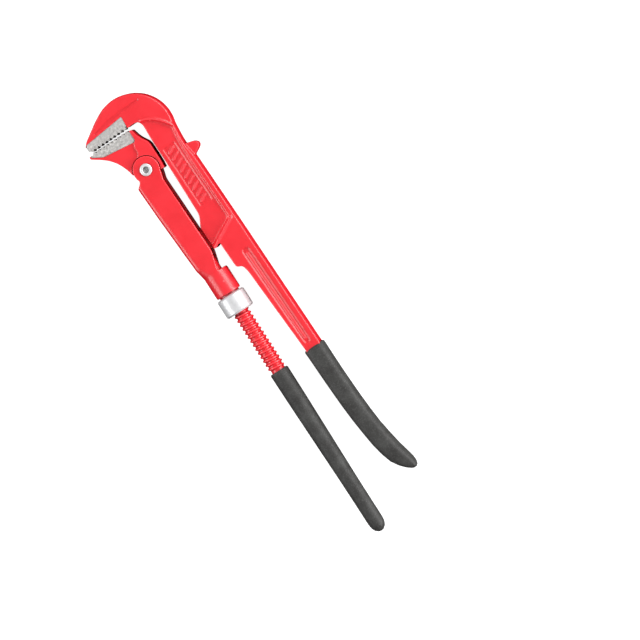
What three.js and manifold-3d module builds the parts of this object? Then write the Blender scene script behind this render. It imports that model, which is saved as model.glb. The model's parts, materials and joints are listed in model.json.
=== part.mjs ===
// A Swedish-pattern pipe wrench lying flat, in millimetres.
// +Y runs towards the hook, +X from the threaded leg to the hook leg, +Z is up through the thickness.
// The outlines are drawn with the jaw rivet at x 0, y 0 and the mid plane at z 0.
// The finished group is then moved so that the middle of its base is at the origin.
import * as THREE from "three";
import { mergeVertices } from "three/addons/utils/BufferGeometryUtils.js";
import Module from "manifold-3d";

const wasm = await Module();
wasm.setup();

// Clearances.
const GAP = 0.3; // between pieces that rest on each other
const PIN_GAP = 0.15; // round a pin

// Half thicknesses, measured from the mid plane.
const LEG_HALF = 6.5; // hook and hook leg
const WEB_HALF = 5.4; // the recessed web of the hook leg
const JAW_HALF = 7.0; // head of the lower jaw
const TANG_HALF = 5.3; // what goes between the sleeve's cheeks
const SLEEVE_HALF = 8.0;
const CHANNEL_HALF = 5.7; // inside the sleeve's channel
const TONGUE_HALF = 2.6; // the hook leg's tongue, in the rod's fork
const GRIP_HALF = 8.0;
const CORE_HALF = 5.6; // the hook leg inside its grip
const NUB_HALF = 4.2; // the nub on the hook leg's back
const PANEL_DEPTH = 0.8; // the shallow panel on the hook leg
const THROUGH = 9; // half length of a cutter that goes right through

// The threaded leg: its fulcrum pin is the origin of everything round about the rod.
const FULCRUM_X = -0.94;
const FULCRUM_Y = -58.0;
const ROD_TILT = THREE.MathUtils.degToRad(1.5);
const SHANK_R = 5.0;
const FULCRUM_PIN_R = 2.6;
const EYE_R = 5.2;

// Thread and nut, measured along the rod from the fulcrum.
const PITCH = 3.0;
const THREAD_TIP_R = 5.5;
const THREAD_ROOT_R = 4.5;
const THREAD_TOP = -41.0;
const THREAD_END = -92.6;
const RIDGE_START = -91.4; // lower end of the thread's ridge
const THREAD_SEGMENTS = 16;
const NUT_R = 9.6;
const NUT_TOP = -36.6;
const NUT_END = -49.3;
const NUT_BORE_END = -43.4;
const NUT_BORE_R = 7.2;
const RING_Y = -39.0;

// Sleeve.
const CHEEK_R = 8.7; // rounded end of the cheeks, about the rivet
const COLLAR_R = 8.5;
const COLLAR_TOP = -19.6;
const COLLAR_END = -35.6;
const NECK_R = 6.9;
const NECK_END = -42.8;
const SLEEVE_BORE_R = 5.9;

// Jaws.
const RIVET_R = 3.0;
const RIVET_HEAD_R = 3.95;
const RIVET_HEAD_FOOT = SLEEVE_HALF + 0.3;
const TEETH = 9;
const FIRST_TOOTH_X = -23.2;
const TOOTH_PITCH = 3.03;
const TOOTH_DEPTH = 1.35;
const TOOTH_FLAT = 0.2; // half width of a tooth's blunted tip
const UPPER_TIP_Y = 28.25;

// Grips, along Y or along the rod.
const GRIP_WALL = 1.9;
const LEG_GRIP_TOP = -151.2;
const ROD_GRIP_TOP = -93.6;
const ROD_GRIP_END = -213.7;

const RED = 0xe8303a;
const GRIP_BLACK = 0x2e2e30;
const BARE_STEEL = 0xb4b6b4;
const ZINC = 0xdcdde0;

// Solids -------------------------------------------------------------

function toSolid(geometry) {
  const g = geometry.clone();
  g.deleteAttribute("normal");
  g.deleteAttribute("uv");
  const merged = mergeVertices(g, 1e-4);
  const mesh = new wasm.Mesh({
    numProp: 3,
    vertProperties: new Float32Array(merged.attributes.position.array),
    triVerts: new Uint32Array(merged.index.array),
  });
  return new wasm.Manifold(mesh);
}

function toGeometry(solid) {
  const m = solid.getMesh();
  const g = new THREE.BufferGeometry();
  g.setAttribute("position", new THREE.BufferAttribute(new Float32Array(m.vertProperties), 3));
  g.setIndex(new THREE.BufferAttribute(new Uint32Array(m.triVerts), 1));
  g.computeVertexNormals();
  return g;
}

// A plate of the outline, centred on the mid plane, with its edges bevelled when bevel is given.
function plate(shape, half, bevel = 0, curveSegments = 6, bevelSegments = 1) {
  const g = new THREE.ExtrudeGeometry(shape, {
    depth: 2 * (half - bevel),
    bevelEnabled: bevel > 0,
    bevelThickness: bevel,
    bevelSize: bevel,
    bevelOffset: -bevel,
    bevelSegments,
    curveSegments,
    steps: 1,
  });
  g.translate(0, 0, -(half - bevel));
  return toSolid(g);
}

// A plate of the outline between two heights.
function slab(shape, low, high, curveSegments = 6) {
  const g = new THREE.ExtrudeGeometry(shape, {
    depth: high - low,
    bevelEnabled: false,
    curveSegments,
  });
  g.translate(0, 0, low);
  return toSolid(g);
}

// A body turned about the rod's axis from a profile of [radius, distance along the rod] points.
function turned(profile, segments = 32) {
  const points = profile.map(([r, y]) => new THREE.Vector2(r, y));
  const g = new THREE.LatheGeometry(points, segments);
  return toSolid(g);
}

function rod(radius, low, high, segments = 32) {
  return turned([[0, low], [radius, low], [radius, high], [0, high]], segments);
}

// A pin across the thickness, at a point of the outline plane.
function pin(radius, half, x, y, segments = 32) {
  const g = new THREE.CylinderGeometry(radius, radius, 2 * half, segments);
  g.rotateX(Math.PI / 2);
  g.translate(x, y, 0);
  return toSolid(g);
}

// Moves a solid drawn about the rod's axis to its place on the wrench.
function onRod(solid) {
  const g = toGeometry(solid);
  g.rotateZ(-ROD_TILT);
  g.translate(FULCRUM_X, FULCRUM_Y, 0);
  return toSolid(g);
}

// A right-handed helix about Y, with frames that keep a profile's x pointing away from the axis.
class Helix extends THREE.Curve {
  constructor(start, end) {
    super();
    this.start = start;
    this.end = end;
  }
  turns() {
    return (this.end - this.start) / PITCH;
  }
  getPoint(t, target = new THREE.Vector3()) {
    const a = 2 * Math.PI * this.turns() * t;
    const y = this.start + (this.end - this.start) * t;
    return target.set(Math.sin(a) * 0.001, y, Math.cos(a) * 0.001);
  }
  getPointAt(t, target) {
    return this.getPoint(t, target);
  }
  getSpacedPoints(divisions) {
    const points = [];
    for (let i = 0; i <= divisions; i++) points.push(this.getPoint(i / divisions));
    return points;
  }
  computeFrenetFrames(segments) {
    const tangents = [];
    const normals = [];
    const binormals = [];
    for (let i = 0; i <= segments; i++) {
      const a = (2 * Math.PI * this.turns() * i) / segments;
      normals.push(new THREE.Vector3(Math.sin(a), 0, Math.cos(a)));
      binormals.push(new THREE.Vector3(0, 1, 0));
      tangents.push(new THREE.Vector3(Math.cos(a), 0, -Math.sin(a)));
    }
    return { tangents, normals, binormals };
  }
}

// A thread's ridge wound round the rod's axis. Grow widens and deepens it all round.
function threadRidge(start, end, grow = 0) {
  const foot = THREAD_ROOT_R - 0.4;
  const tip = THREAD_TIP_R + grow;
  const wide = 1.2 + Math.min(grow, 0.25);
  const narrow = 0.3 + grow;
  const profile = new THREE.Shape();
  profile.moveTo(foot, -wide);
  profile.lineTo(tip, -narrow);
  profile.lineTo(tip, narrow);
  profile.lineTo(foot, wide);
  const path = new Helix(start, end);
  const g = new THREE.ExtrudeGeometry(profile, {
    steps: Math.round(path.turns() * THREAD_SEGMENTS),
    bevelEnabled: false,
    extrudePath: path,
  });
  const made = toSolid(g);
  if (made.volume() > 0) return made;
  // The sweep came out with its faces turned inwards, so each triangle is turned round.
  const p = g.attributes.position.array;
  for (let i = 0; i < p.length; i += 9) {
    for (let k = 0; k < 3; k++) {
      [p[i + 3 + k], p[i + 6 + k]] = [p[i + 6 + k], p[i + 3 + k]];
    }
  }
  return toSolid(g);
}

function vectors(points) {
  return points.map(([x, y]) => new THREE.Vector2(x, y));
}

// Hook leg -----------------------------------------------------------

// The outer outline with the toothed plate's place filled in.
function hookLegShape() {
  const s = new THREE.Shape();
  s.moveTo(-24.1, 29.2);
  s.lineTo(-24.1, 32.2);
  s.splineThru(vectors([[-22.9, 34.9], [-15.5, 39.8], [-8.5, 44.2], [-1.5, 47.3]]));
  s.absarc(6.5, 22.8, 25.6, THREE.MathUtils.degToRad(101), THREE.MathUtils.degToRad(-18), true);
  s.splineThru(vectors([[29.6, 7], [29.2, -0.6], [30.4, -9.6]]));
  s.lineTo(30.3, -60);
  s.lineTo(29.5, LEG_GRIP_TOP + GAP);
  s.lineTo(18.9, LEG_GRIP_TOP + GAP);
  s.lineTo(17.0, -88);
  s.splineThru(vectors([[16.4, -85], [14.8, -83.8]]));
  s.quadraticCurveTo(12.3, -83.7, 12.3, -80.8);
  s.lineTo(12.2, -64.6);
  s.quadraticCurveTo(12, -63.3, 10.6, -63.9);
  s.lineTo(7.2, -65.6);
  s.lineTo(7.2, -49.4);
  s.lineTo(11.2, -42.6);
  s.lineTo(12.5, -10);
  s.lineTo(13.1, 14);
  s.splineThru(vectors([[13.4, 19], [13.7, 24.2], [12.2, 27.4], [9.4, 28.4]]));
  s.lineTo(5.6, 28.6);
  s.lineTo(5.3, 29.2);
  s.closePath();
  return s;
}

function nubShape() {
  const s = new THREE.Shape();
  s.moveTo(27, -0.4);
  s.lineTo(30.6, -0.6);
  s.splineThru(vectors([[34.4, -1.9], [36.8, -3.9], [36.2, -6.1], [32.6, -8.1]]));
  s.lineTo(29.5, -9.6);
  s.lineTo(27, -9.6);
  return s;
}

// The recess that leaves the web and the lug thinner than the hook and the rim.
function webRecessShape() {
  const s = new THREE.Shape();
  s.moveTo(-6, 22);
  s.lineTo(10, 26.6);
  s.lineTo(15.6, 26.2);
  s.splineThru(vectors([[20.5, 23.4], [25.2, 18.2], [27.3, 12.6], [26.9, 2], [26.2, -10]]));
  s.lineTo(26.2, -50.5);
  s.quadraticCurveTo(26.2, -53.4, 23.6, -54.7);
  s.lineTo(7.2, -63.4);
  s.lineTo(-6, -70);
  return s;
}

// The shallow panel on the lower half of the leg.
function panelRecessShape() {
  const s = new THREE.Shape();
  s.moveTo(20.2, -80);
  s.quadraticCurveTo(20.2, -76, 23.2, -75.6);
  s.quadraticCurveTo(25.6, -75.6, 25.6, -79);
  s.lineTo(25.6, -144);
  s.quadraticCurveTo(25.4, -147.4, 23.2, -147.4);
  s.quadraticCurveTo(21, -147.4, 21, -144);
  return s;
}

function upperPocketShape() {
  const s = new THREE.Shape();
  s.moveTo(-30, 20);
  s.lineTo(5.15, 20);
  s.lineTo(5.15, 28.2);
  s.lineTo(5.85, 36.75);
  s.lineTo(-23.4, 34.25);
  s.lineTo(-25.2, 32);
  s.lineTo(-30, 32);
  return s;
}

function tongueShape() {
  const s = new THREE.Shape();
  s.moveTo(9, -49.8);
  s.lineTo(6.8, -49.8);
  s.quadraticCurveTo(3.4, -52.7, FULCRUM_X, FULCRUM_Y + EYE_R);
  s.absarc(FULCRUM_X, FULCRUM_Y, EYE_R, Math.PI / 2, -Math.PI / 2, false);
  s.quadraticCurveTo(4, -63, 6.6, -63.8);
  s.lineTo(9, -64.2);
  return s;
}

// The grip's outline, or the core's under it when it is drawn inset.
function legGripShape(inset) {
  const top = inset > 0 ? LEG_GRIP_TOP + 4 : LEG_GRIP_TOP;
  const tipR = 3.3 - inset * 0.7;
  const from = THREE.MathUtils.degToRad(220);
  const s = new THREE.Shape();
  s.moveTo(17.4 + inset, top);
  s.lineTo(17.3 + inset, -162);
  s.splineThru(
    vectors([
      [17.2 + inset, -182],
      [17.9 + inset, -204],
      [19.6 + inset, -224],
      [22.6 + inset, -238.5],
      [33.7 + tipR * Math.cos(from), -247 + tipR * Math.sin(from)],
    ]),
  );
  s.absarc(33.7, -247, tipR, from, THREE.MathUtils.degToRad(350), false);
  s.splineThru(
    vectors([
      [35.2 - inset, -236],
      [32.6 - inset, -220],
      [31.1 - inset, -203],
      [30.7 - inset, -184],
      [30.8 - inset, -162],
    ]),
  );
  s.lineTo(30.9 - inset, top);
  return s;
}

function hookLeg() {
  let body = plate(hookLegShape(), LEG_HALF, 0.9, 4);
  body = body.add(plate(nubShape(), NUB_HALF, 1.2, 4));
  const web = webRecessShape();
  body = body.subtract(slab(web, WEB_HALF, LEG_HALF + 1, 4));
  body = body.subtract(slab(web, -LEG_HALF - 1, -WEB_HALF, 4));
  const panel = panelRecessShape();
  body = body.subtract(slab(panel, LEG_HALF - PANEL_DEPTH, LEG_HALF + 1, 4));
  body = body.subtract(slab(panel, -LEG_HALF - 1, PANEL_DEPTH - LEG_HALF, 4));
  body = body.subtract(slab(upperPocketShape(), -THROUGH, THROUGH));
  body = body.add(plate(tongueShape(), TONGUE_HALF, 0, 5));
  body = body.add(plate(legGripShape(GRIP_WALL), CORE_HALF, 0.8, 3));
  body = body.subtract(pin(FULCRUM_PIN_R + PIN_GAP, THROUGH, FULCRUM_X, FULCRUM_Y));
  return body;
}

function hookLegGrip() {
  const outer = plate(legGripShape(0), GRIP_HALF, 2.6, 3, 3);
  const cavity = plate(legGripShape(GRIP_WALL - GAP), CORE_HALF + GAP, 0.8, 3);
  return outer.subtract(cavity);
}

// Toothed plates -----------------------------------------------------

function hookJawPlateShape() {
  const s = new THREE.Shape();
  s.moveTo(4.85, UPPER_TIP_Y + TOOTH_DEPTH);
  s.lineTo(5.5, 36.4);
  s.lineTo(-22.9, 34.0);
  s.lineTo(-24.0, 32.4);
  s.lineTo(-24.0, UPPER_TIP_Y + TOOTH_DEPTH);
  for (let i = 0; i < TEETH; i++) {
    const x = FIRST_TOOTH_X + i * TOOTH_PITCH;
    s.lineTo(x, UPPER_TIP_Y + TOOTH_DEPTH);
    s.lineTo(x + 0.5 * TOOTH_PITCH - TOOTH_FLAT, UPPER_TIP_Y);
    s.lineTo(x + 0.5 * TOOTH_PITCH + TOOTH_FLAT, UPPER_TIP_Y);
  }
  s.lineTo(4.1, UPPER_TIP_Y + TOOTH_DEPTH);
  return s;
}

// The lower teeth fall away slightly towards the throat.
function lowerTipY(x) {
  return 27.85 - ((x + 24) * 0.95) / 29;
}

function lowerJawPlateShape() {
  const s = new THREE.Shape();
  s.moveTo(4.9, lowerTipY(4.9) - TOOTH_DEPTH);
  for (let i = TEETH - 1; i >= 0; i--) {
    const x = FIRST_TOOTH_X + i * TOOTH_PITCH;
    const right = x + TOOTH_PITCH;
    const middle = x + 0.5 * TOOTH_PITCH;
    s.lineTo(right, lowerTipY(right) - TOOTH_DEPTH);
    s.lineTo(middle + TOOTH_FLAT, lowerTipY(middle));
    s.lineTo(middle - TOOTH_FLAT, lowerTipY(middle));
  }
  s.lineTo(FIRST_TOOTH_X, lowerTipY(FIRST_TOOTH_X) - TOOTH_DEPTH);
  s.lineTo(-24.9, 26.9);
  s.lineTo(-24.7, 25.6);
  s.lineTo(-18, 21.6);
  s.lineTo(2.4, 18.8);
  s.quadraticCurveTo(4.4, 18.7, 4.6, 20.8);
  return s;
}

function hookJawPlate() {
  return plate(hookJawPlateShape(), LEG_HALF - 0.1);
}

function lowerJawPlate() {
  return plate(lowerJawPlateShape(), JAW_HALF - 0.4);
}

// Lower jaw ----------------------------------------------------------

function lowerJawShape() {
  const s = new THREE.Shape();
  s.moveTo(-25.9, 26.6);
  s.lineTo(-25.7, 24.9);
  s.lineTo(-20.6, 21.4);
  s.splineThru(vectors([[-17.4, 18.7], [-14.4, 15.2], [-12.3, 11.6], [-10.7, 7.4], [-9.2, 1.4]]));
  s.lineTo(0, 0);
  s.lineTo(8.4, -5.0);
  s.lineTo(10.1, -5.0);
  s.lineTo(10.7, 0);
  s.lineTo(11.1, 12.6);
  s.quadraticCurveTo(11.1, 13.8, 10.2, 15);
  s.quadraticCurveTo(7.8, 18, 7.1, 20.6);
  s.lineTo(6.1, 25.2);
  s.quadraticCurveTo(5.9, 26.2, 5.3, 26.2);
  s.lineTo(-20, 27);
  return s;
}

function lowerPocketShape() {
  const s = new THREE.Shape();
  s.moveTo(-27, 30);
  s.lineTo(-25.25, 27.1);
  s.lineTo(-25.0, 25.4);
  s.lineTo(-18.1, 21.27);
  s.lineTo(2.4, 18.47);
  s.quadraticCurveTo(4.7, 18.35, 4.95, 20.7);
  s.lineTo(5.25, 30);
  return s;
}

function tangShape() {
  const s = new THREE.Shape();
  s.moveTo(-8.2, 0);
  s.absarc(0, 0, CHEEK_R - 0.4, Math.PI, 2 * Math.PI, false);
  s.lineTo(8.9, 9);
  s.lineTo(0, 14);
  s.lineTo(-8.8, 9);
  s.closePath();
  return s;
}

function lowerJaw() {
  let head = plate(lowerJawShape(), JAW_HALF, 0.5, 4);
  head = head.subtract(slab(lowerPocketShape(), -THROUGH, THROUGH, 4));
  head = head.subtract(pin(CHEEK_R + 0.35, THROUGH, 0, 0, 48));
  const tang = plate(tangShape(), TANG_HALF, 0, 16);
  return head.add(tang).subtract(pin(RIVET_R + PIN_GAP, THROUGH, 0, 0));
}

function jawRivet() {
  const shaft = pin(RIVET_R, SLEEVE_HALF + 0.5, 0, 0);
  const profile = [
    [0, RIVET_HEAD_FOOT],
    [RIVET_HEAD_R, RIVET_HEAD_FOOT],
    [RIVET_HEAD_R, RIVET_HEAD_FOOT + 0.5],
    [RIVET_HEAD_R - 0.5, RIVET_HEAD_FOOT + 0.8],
    [2.0, RIVET_HEAD_FOOT + 0.8],
    [1.3, RIVET_HEAD_FOOT + 0.4],
    [0, RIVET_HEAD_FOOT + 0.3],
  ];
  const head = toGeometry(turned(profile));
  const front = toSolid(head.clone().rotateX(Math.PI / 2));
  const back = toSolid(head.clone().rotateX(-Math.PI / 2));
  return shaft.add(front).add(back);
}

// Sleeve -------------------------------------------------------------

function sleeveShape() {
  const s = new THREE.Shape();
  s.moveTo(-11.9, -8.2);
  s.lineTo(-11.7, -30);
  s.lineTo(-10.8, -65);
  s.splineThru(vectors([[-10.4, -73], [-9.7, -79]]));
  s.lineTo(-9.4, -86);
  s.lineTo(4, -86);
  s.lineTo(1.9, -76);
  s.lineTo(5.4, -65.2);
  s.lineTo(5.5, -11.4);
  s.lineTo(7.9, -5.6);
  s.absarc(0, 0, CHEEK_R, THREE.MathUtils.degToRad(-27), THREE.MathUtils.degToRad(206), false);
  s.lineTo(-8.6, -5.2);
  return s;
}

function channelShape() {
  const s = new THREE.Shape();
  s.moveTo(-9.5, 20);
  s.lineTo(-9.4, -30);
  s.lineTo(-8.4, -66);
  s.lineTo(-7.4, -77.4);
  s.lineTo(20, -78.1);
  s.lineTo(20, 20);
  return s;
}

function jawSleeve() {
  let body = plate(sleeveShape(), SLEEVE_HALF, 0.8, 12);
  const collar = turned([
    [0, COLLAR_END],
    [COLLAR_R - 0.5, COLLAR_END],
    [COLLAR_R, COLLAR_END + 0.5],
    [COLLAR_R, COLLAR_TOP - 0.5],
    [COLLAR_R - 0.5, COLLAR_TOP],
    [0, COLLAR_TOP],
  ]);
  const neck = turned([
    [0, NECK_END],
    [NECK_R, NECK_END],
    [NECK_R, RING_Y - 0.75],
    [NECK_R - 0.5, RING_Y - 0.75],
    [NECK_R - 0.5, RING_Y + 0.75],
    [NECK_R, RING_Y + 0.75],
    [NECK_R, COLLAR_END + 1],
    [0, COLLAR_END + 1],
  ]);
  body = body.subtract(slab(channelShape(), -CHANNEL_HALF, CHANNEL_HALF));
  body = body.add(onRod(collar.add(neck)));
  body = body.subtract(onRod(rod(SLEEVE_BORE_R, -60, -10)));
  return body.subtract(pin(RIVET_R + PIN_GAP, THROUGH, 0, 0));
}

// Threaded leg -------------------------------------------------------

function forkShape() {
  const s = new THREE.Shape();
  s.absarc(0, 0, EYE_R, 0, Math.PI, false);
  s.lineTo(-EYE_R, -6.6);
  s.quadraticCurveTo(-EYE_R, -8.4, -4.4, -8.8);
  s.lineTo(4.4, -8.8);
  s.quadraticCurveTo(EYE_R, -8.4, EYE_R, -6.6);
  s.closePath();
  return s;
}

function forkSlotShape() {
  const s = new THREE.Shape();
  s.moveTo(-12, 12);
  s.lineTo(-12, -5.6);
  s.lineTo(12, -7.2);
  s.lineTo(12, 12);
  return s;
}

function threadedLeg() {
  const shank = turned(
    [
      [0, ROD_GRIP_END + 9],
      [3.4, ROD_GRIP_END + 9],
      [3.9, ROD_GRIP_END + 11],
      [4.7, ROD_GRIP_TOP],
      [THREAD_ROOT_R, THREAD_END],
      [THREAD_ROOT_R, THREAD_TOP - 1],
      [SHANK_R - 0.1, THREAD_TOP + 0.5],
      [SHANK_R, -12],
      [4.4, -7],
      [0, -7],
    ],
    THREAD_SEGMENTS,
  );
  const fork = plate(forkShape(), TANG_HALF - 0.1, 0, 8);
  let leg = shank.add(fork);
  const ridge = threadRidge(RIDGE_START, THREAD_TOP - 1.4);
  leg = leg.add(ridge);
  leg = leg.subtract(slab(forkSlotShape(), -TONGUE_HALF - GAP, TONGUE_HALF + GAP));
  leg = leg.subtract(pin(FULCRUM_PIN_R + PIN_GAP, THROUGH, 0, 0));
  return onRod(leg);
}

function threadedLegGrip() {
  const grip = turned([
    [0, ROD_GRIP_END],
    [1.8, ROD_GRIP_END + 0.4],
    [3.6, ROD_GRIP_END + 1.9],
    [4.8, ROD_GRIP_END + 4.2],
    [5.2, ROD_GRIP_END + 7.4],
    [5.25, -180],
    [6.2, -112],
    [6.35, ROD_GRIP_TOP - 0.8],
    [5.8, ROD_GRIP_TOP + 0.1],
    [4.7 + GAP, ROD_GRIP_TOP + 0.1],
    [3.9 + GAP, ROD_GRIP_END + 11],
    [3.4 + GAP, ROD_GRIP_END + 9 - GAP],
    [0, ROD_GRIP_END + 9 - GAP],
  ]);
  return onRod(grip);
}

// Nut and ring -------------------------------------------------------

function adjustingNut() {
  let nut = turned(
    [
      [0, NUT_END],
      [NUT_R - 0.9, NUT_END],
      [NUT_R, NUT_END + 0.9],
      [NUT_R, NUT_TOP - 0.9],
      [NUT_R - 0.9, NUT_TOP],
      [0, NUT_TOP],
    ],
    40,
  );
  nut = nut.subtract(rod(NUT_BORE_R, NUT_BORE_END, NUT_TOP + 2));
  nut = nut.subtract(rod(NUT_BORE_R + 0.75, RING_Y - 0.75, RING_Y + 0.75));
  nut = nut.subtract(rod(THREAD_ROOT_R + GAP, NUT_END - 2, NUT_BORE_END + 1, THREAD_SEGMENTS));
  const start = RIDGE_START + 13 * PITCH; // a whole number of turns keeps it in mesh
  nut = nut.subtract(threadRidge(start, start + 4 * PITCH, 0.25));
  return onRod(nut);
}

// A split ring in the two facing grooves of the neck and the nut.
function nutRing() {
  const inner = NECK_R - 0.5 + 0.3;
  const outer = NUT_BORE_R + 0.75 - 0.3;
  const s = new THREE.Shape();
  const open = THREE.MathUtils.degToRad(14);
  s.absarc(0, 0, outer, open, 2 * Math.PI - open, false);
  s.absarc(0, 0, inner, 2 * Math.PI - open, open, true);
  s.closePath();
  const g = new THREE.ExtrudeGeometry(s, { depth: 0.9, bevelEnabled: false, curveSegments: 24 });
  g.rotateX(-Math.PI / 2);
  g.translate(0, RING_Y - 0.45, 0);
  return onRod(toSolid(g));
}

function fulcrumPin() {
  return pin(FULCRUM_PIN_R, TANG_HALF - 0.1, FULCRUM_X, FULCRUM_Y);
}

// Assembly -----------------------------------------------------------

const group = new THREE.Group();

function addPart(name, solid, color, roughness, metalness) {
  const material = new THREE.MeshStandardMaterial({ color, roughness, metalness });
  const mesh = new THREE.Mesh(toGeometry(solid), material);
  mesh.name = name;
  group.add(mesh);
}

addPart("hook_leg", hookLeg(), RED, 0.35, 0.0);
addPart("hook_jaw_plate", hookJawPlate(), BARE_STEEL, 0.4, 1.0);
addPart("hook_leg_grip", hookLegGrip(), GRIP_BLACK, 0.75, 0.0);
addPart("threaded_leg", threadedLeg(), RED, 0.4, 0.0);
addPart("threaded_leg_grip", threadedLegGrip(), GRIP_BLACK, 0.75, 0.0);
addPart("fulcrum_pin", fulcrumPin(), BARE_STEEL, 0.35, 1.0);
addPart("jaw_sleeve", jawSleeve(), RED, 0.35, 0.0);
addPart("adjusting_nut", adjustingNut(), ZINC, 0.25, 1.0);
addPart("nut_ring", nutRing(), BARE_STEEL, 0.35, 1.0);
addPart("lower_jaw", lowerJaw(), RED, 0.35, 0.0);
addPart("lower_jaw_plate", lowerJawPlate(), BARE_STEEL, 0.4, 1.0);
addPart("jaw_rivet", jawRivet(), ZINC, 0.25, 1.0);

// The middle of the base goes to the origin.
const reach = new THREE.Box3().setFromObject(group);
group.position.set(
  -(reach.min.x + reach.max.x) / 2,
  -(reach.min.y + reach.max.y) / 2,
  -reach.min.z,
);

export default group;
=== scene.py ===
# %% [markdown]
# # A Swedish-pattern pipe wrench
# The real tool is a pair of red forged legs. The long leg ends in a hook with a toothed jaw. The short
# leg is a threaded rod, and a nut on it pushes a sleeve that carries the lower jaw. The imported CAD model
# gives every size, joint and place. This script builds the looks around it, one piece at a time and in
# the same frame, so nothing is fitted afterwards.

# %% Load the frame
import json
import math

import bmesh
import bpy
from mathutils import Matrix, Vector


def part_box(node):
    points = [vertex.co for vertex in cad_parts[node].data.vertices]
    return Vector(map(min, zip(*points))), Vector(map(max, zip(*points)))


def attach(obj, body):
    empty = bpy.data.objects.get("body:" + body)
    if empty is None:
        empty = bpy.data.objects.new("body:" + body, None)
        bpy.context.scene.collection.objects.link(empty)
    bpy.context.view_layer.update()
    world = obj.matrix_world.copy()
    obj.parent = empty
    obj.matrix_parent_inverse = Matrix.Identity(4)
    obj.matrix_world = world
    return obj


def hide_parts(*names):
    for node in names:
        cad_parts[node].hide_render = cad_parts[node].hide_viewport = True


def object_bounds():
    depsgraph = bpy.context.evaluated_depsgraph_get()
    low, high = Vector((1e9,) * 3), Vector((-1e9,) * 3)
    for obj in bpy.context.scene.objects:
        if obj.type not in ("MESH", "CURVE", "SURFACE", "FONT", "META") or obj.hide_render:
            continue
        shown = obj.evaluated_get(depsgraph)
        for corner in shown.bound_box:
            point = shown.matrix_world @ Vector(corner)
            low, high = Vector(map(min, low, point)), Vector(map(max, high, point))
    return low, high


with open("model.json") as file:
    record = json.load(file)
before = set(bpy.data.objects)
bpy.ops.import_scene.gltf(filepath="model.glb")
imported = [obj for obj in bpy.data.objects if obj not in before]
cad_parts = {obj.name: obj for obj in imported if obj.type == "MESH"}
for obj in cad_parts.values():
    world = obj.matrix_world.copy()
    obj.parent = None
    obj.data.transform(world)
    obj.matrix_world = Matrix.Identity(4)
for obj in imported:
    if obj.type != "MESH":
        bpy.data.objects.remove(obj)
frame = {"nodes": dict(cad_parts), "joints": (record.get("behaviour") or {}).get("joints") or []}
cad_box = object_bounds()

print("nodes:", sorted(frame["nodes"]))

# %% [markdown]
# ## A workbench in millimetres
# A toolmaker thinks in millimetres, so the pieces are drawn in them, measured from the jaw rivet or from
# the fulcrum pin that joins the legs. Both places and the direction of the threaded rod come from the
# frame. When a piece is finished, one matrix takes its mesh to its place in metres, and its object stays
# at the origin.

# %% The rivet, the fulcrum and the rod's direction
MM = 0.001
joints = {joint["name"]: joint for joint in frame["joints"]}


def middle(node):
    low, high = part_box(node)
    return (low + high) / 2


RIVET = middle("jaw_rivet")
FULCRUM = (Vector(joints["legs_pivot"]["pos_m"]) - RIVET) / MM
ROD_UP = -Vector(joints["sleeve_slide"]["axis"])
ROD_TILT = math.atan2(ROD_UP.x, ROD_UP.y)
FROM_RIVET = Matrix.Translation(RIVET) @ Matrix.Scale(MM, 4)
ONTO_ROD = Matrix.Translation(FULCRUM) @ Matrix.Rotation(-ROD_TILT, 4, "Z")
print("rivet", RIVET, "fulcrum", FULCRUM, "rod tilt", round(math.degrees(ROD_TILT), 2))

# %% Half thicknesses, measured from the mid plane
LEG_HALF = 6.5
WEB_HALF = 5.2
TONGUE_HALF = 2.6
JAW_HALF = 7.0
TANG_HALF = 5.3
SLEEVE_HALF = 8.0
CHANNEL_HALF = 5.7
THROUGH = 9  # half length of a cutter that goes right through

# %% Gaps and tolerances
RUNNING_GAP = 0.15  # between a pin and its hole
SAME = 1e-5  # heights closer than this count as equal

# %% [markdown]
# ## Drawing outlines
# Every forging starts as an outline on the mid plane. A few corners make one face, and bmesh's vertex
# bevel rounds each corner that has a third number, which is how far back along its edges the curve
# starts. A long arc is spun from its first point. The corners stay few, so a shape is easy to correct.

# %% One flat face from corners
CORNER_STEPS = 6
ARC_STEPS = 28


def sheet(*corners):
    """Corners are (x, y) or (x, y, rounding); ("arc", x, y, degrees) spins the last one about x, y."""
    bm = bmesh.new()
    line = []
    rounded = []
    for corner in corners:
        if corner[0] == "arc":
            bmesh.ops.spin(bm, geom=[line[-1]], cent=(corner[1], corner[2], 0), axis=(0, 0, 1),
                           angle=math.radians(corner[3]), steps=ARC_STEPS)
            bm.verts.ensure_lookup_table()
            line.extend(bm.verts[len(line):])
            continue
        line.append(bm.verts.new((corner[0], corner[1], 0)))
        if len(corner) > 2:
            rounded.append((line[-1], corner[2]))
    bm.faces.new(line)
    for vert, offset in rounded:
        bmesh.ops.bevel(bm, geom=[vert], offset=offset, segments=CORNER_STEPS, profile=0.5,
                        affect="VERTICES", material=-1)
    return bm


# %% A slab between two heights
def slab(bm, low, high):
    """Lifts the face to the lower height, pulls it up to the higher one and closes the sides."""
    bmesh.ops.translate(bm, vec=(0, 0, low), verts=bm.verts[:])
    grown = bmesh.ops.extrude_face_region(bm, geom=bm.faces[:])["geom"]
    top = [g for g in grown if isinstance(g, bmesh.types.BMVert)]
    bmesh.ops.translate(bm, vec=(0, 0, high - low), verts=top)
    bmesh.ops.recalc_face_normals(bm, faces=bm.faces[:])
    return bm


def rim_edges(bm, z=None, where=None):
    """The edges that lie in a slab's two faces, or in the face at height z, or only where a test says."""
    chosen = []
    for edge in bm.edges:
        a, b = (vert.co for vert in edge.verts)
        flat = abs(a.z - b.z) < SAME and (z is None or abs(a.z - z) < SAME)
        if flat and (where is None or (where(a) and where(b))):
            chosen.append(edge)
    return chosen


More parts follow.
